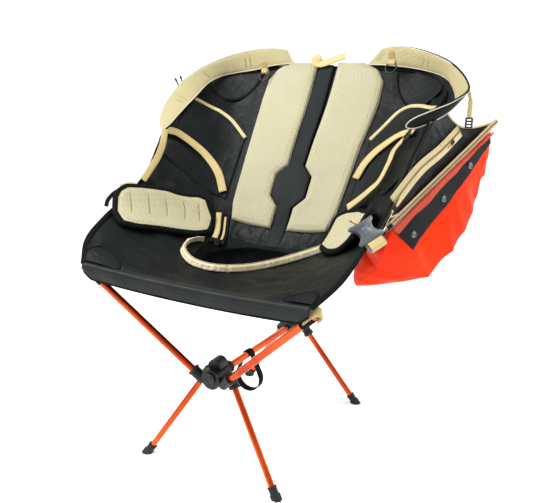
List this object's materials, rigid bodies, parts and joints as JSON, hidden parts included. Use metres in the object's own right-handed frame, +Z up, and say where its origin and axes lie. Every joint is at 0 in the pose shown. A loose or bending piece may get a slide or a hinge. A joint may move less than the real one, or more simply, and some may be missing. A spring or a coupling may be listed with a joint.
{
  "type": "backpacking chair",
  "caption": "Low folding pole-frame chair whose sling seat is a backpack back panel, with straps, hip wings and a side gear bag.",
  "frame": {"origin": "on the ground, at the middle of the overall width and depth", "axes": "+Z up, +Y from the front hem to the back, +X to the right as seen from in front, where the gear bag hangs"},
  "size_m": [0.7416, 0.612, 0.813],
  "materials": {
    "hub_plastic": "moulded, fine texture",
    "anodised_tube": "anodised, satin",
    "bare_aluminium": "drawn",
    "cap_plastic": "moulded",
    "foot_rubber": "matt",
    "elastic_cord": "braided",
    "black_webbing": "woven",
    "sling_fabric": "ripstop nylon",
    "trim_fabric": "coated nylon",
    "mesh_pad": "spacer mesh",
    "sand_webbing": "woven",
    "bag_fabric": "coated nylon, glossy",
    "coral_tape": "woven tape",
    "zip_tape": "woven tape with coil",
    "buckle_plastic": "moulded",
    "black_hardware": "moulded",
    "snap_metal": "dark plated"
  },
  "bodies": {
    "frame": {"front_hub": "hub_plastic", "rear_hub": "hub_plastic", "hub_rivets": "cap_plastic", "centre_tube": "anodised_tube", "front_left_pole": "anodised_tube", "front_right_pole": "anodised_tube", "back_left_lower_pole": "anodised_tube", "back_right_lower_pole": "anodised_tube", "back_left_upper_pole": "anodised_tube", "back_right_upper_pole": "anodised_tube", "pole_ferrules": "bare_aluminium", "pole_tip_caps": "cap_plastic", "shock_cords": "elastic_cord", "seat_panel": "sling_fabric", "front_hem": "sling_fabric", "left_side_panel": "sling_fabric", "right_side_panel": "sling_fabric", "back_panel": "sling_fabric", "storage_pocket": "trim_fabric", "pocket_zip_lip": "zip_tape", "left_back_pad": "mesh_pad", "right_back_pad": "mesh_pad", "centre_strip": "trim_fabric", "grab_handle": "sand_webbing", "left_shoulder_strap": "mesh_pad", "right_shoulder_strap": "mesh_pad", "front_pole_sleeves": "trim_fabric", "back_pole_sleeves": "trim_fabric", "sleeve_patches": "trim_fabric", "left_stash_pocket": "sling_fabric", "right_stash_pocket": "sling_fabric", "left_webbing": "sand_webbing", "right_webbing": "sand_webbing", "right_loose_webbing": "sand_webbing", "strap_adjusters": "black_hardware", "ring_tabs": "sand_webbing", "side_gusset": "trim_fabric", "gear_bag": "bag_fabric", "snap_strip": "trim_fabric", "snap_fasteners": "snap_metal", "bag_welt": "coral_tape", "main_zip": "zip_tape", "pocket_zip": "zip_tape"},
    "front_left_leg": {"front_left_leg": "anodised_tube", "front_left_foot": "foot_rubber"},
    "front_right_leg": {"front_right_leg": "anodised_tube", "front_right_foot": "foot_rubber"},
    "rear_left_leg": {"rear_left_leg": "anodised_tube", "rear_left_foot": "foot_rubber"},
    "rear_right_leg": {"rear_right_leg": "anodised_tube", "rear_right_foot": "foot_rubber"},
    "tie_loop": {"tie_loop": "black_webbing"},
    "left_gear_ring": {"left_gear_ring": "black_hardware"},
    "right_gear_ring": {"right_gear_ring": "black_hardware"},
    "left_hip_wing": {"left_hip_wing": "mesh_pad"},
    "right_hip_wing": {"right_hip_wing": "mesh_pad", "hip_buckle": "buckle_plastic"},
    "main_zip_slider": {"main_zip_slider": "black_hardware"},
    "pocket_zip_slider": {"pocket_zip_slider": "black_hardware"},
    "hanging_clip": {"hanging_clip": "black_hardware"}
  },
  "joints": [
    {"name": "front_right_leg_pull", "type": "slide", "parent": "frame", "child": "front_right_leg", "axis": [0.5325, -0.213, -0.8192], "range_m": [0, 0.024], "stiffness_N_per_m": 150, "springref_m": -0.03},
    {"name": "front_left_leg_pull", "type": "slide", "parent": "frame", "child": "front_left_leg", "axis": [-0.5325, -0.213, -0.8192], "range_m": [0, 0.024], "stiffness_N_per_m": 150, "springref_m": -0.03},
    {"name": "rear_right_leg_pull", "type": "slide", "parent": "frame", "child": "rear_right_leg", "axis": [0.5529, 0.1327, -0.8226], "range_m": [0, 0.024], "stiffness_N_per_m": 150, "springref_m": -0.03},
    {"name": "rear_left_leg_pull", "type": "slide", "parent": "frame", "child": "rear_left_leg", "axis": [-0.5529, 0.1327, -0.8226], "range_m": [0, 0.024], "stiffness_N_per_m": 150, "springref_m": -0.03},
    {"name": "tie_loop_swing", "type": "hinge", "parent": "frame", "child": "tie_loop", "pos_m": [-0.0277, -0.0976, 0.19559], "axis": [0, 0.999, -0.0443], "range_deg": [-70, 70]},
    {"name": "left_ring_swing", "type": "hinge", "parent": "frame", "child": "left_gear_ring", "pos_m": [-0.1797, 0.2484, 0.758], "axis": [1, 0, 0], "range_deg": [-100, 0]},
    {"name": "right_ring_swing", "type": "hinge", "parent": "frame", "child": "right_gear_ring", "pos_m": [0.1403, 0.2444, 0.778], "axis": [1, 0, 0], "range_deg": [-100, 0]},
    {"name": "left_wing_fold", "type": "hinge", "parent": "frame", "child": "left_hip_wing", "pos_m": [-0.16337, -0.00676, 0.42932], "axis": [-0.2597, 0.7986, 0.543], "range_deg": [0, 55]},
    {"name": "right_wing_fold", "type": "hinge", "parent": "frame", "child": "right_hip_wing", "pos_m": [0.10321, 0.01698, 0.44431], "axis": [0.1988, 0.7042, 0.6816], "range_deg": [-55, 0]},
    {"name": "main_zip_pull", "type": "slide", "parent": "frame", "child": "main_zip_slider", "axis": [0.3438, 0.805, 0.4835], "range_m": [0, 0.33]},
    {"name": "pocket_zip_pull", "type": "slide", "parent": "frame", "child": "pocket_zip_slider", "axis": [-0.2108, -0.8569, -0.4705], "range_m": [0, 0.2]},
    {"name": "clip_swing", "type": "hinge", "parent": "frame", "child": "hanging_clip", "pos_m": [0.3343, 0.1554, 0.708], "axis": [0, 1, 0], "range_deg": [-50, 8]}
  ]
}
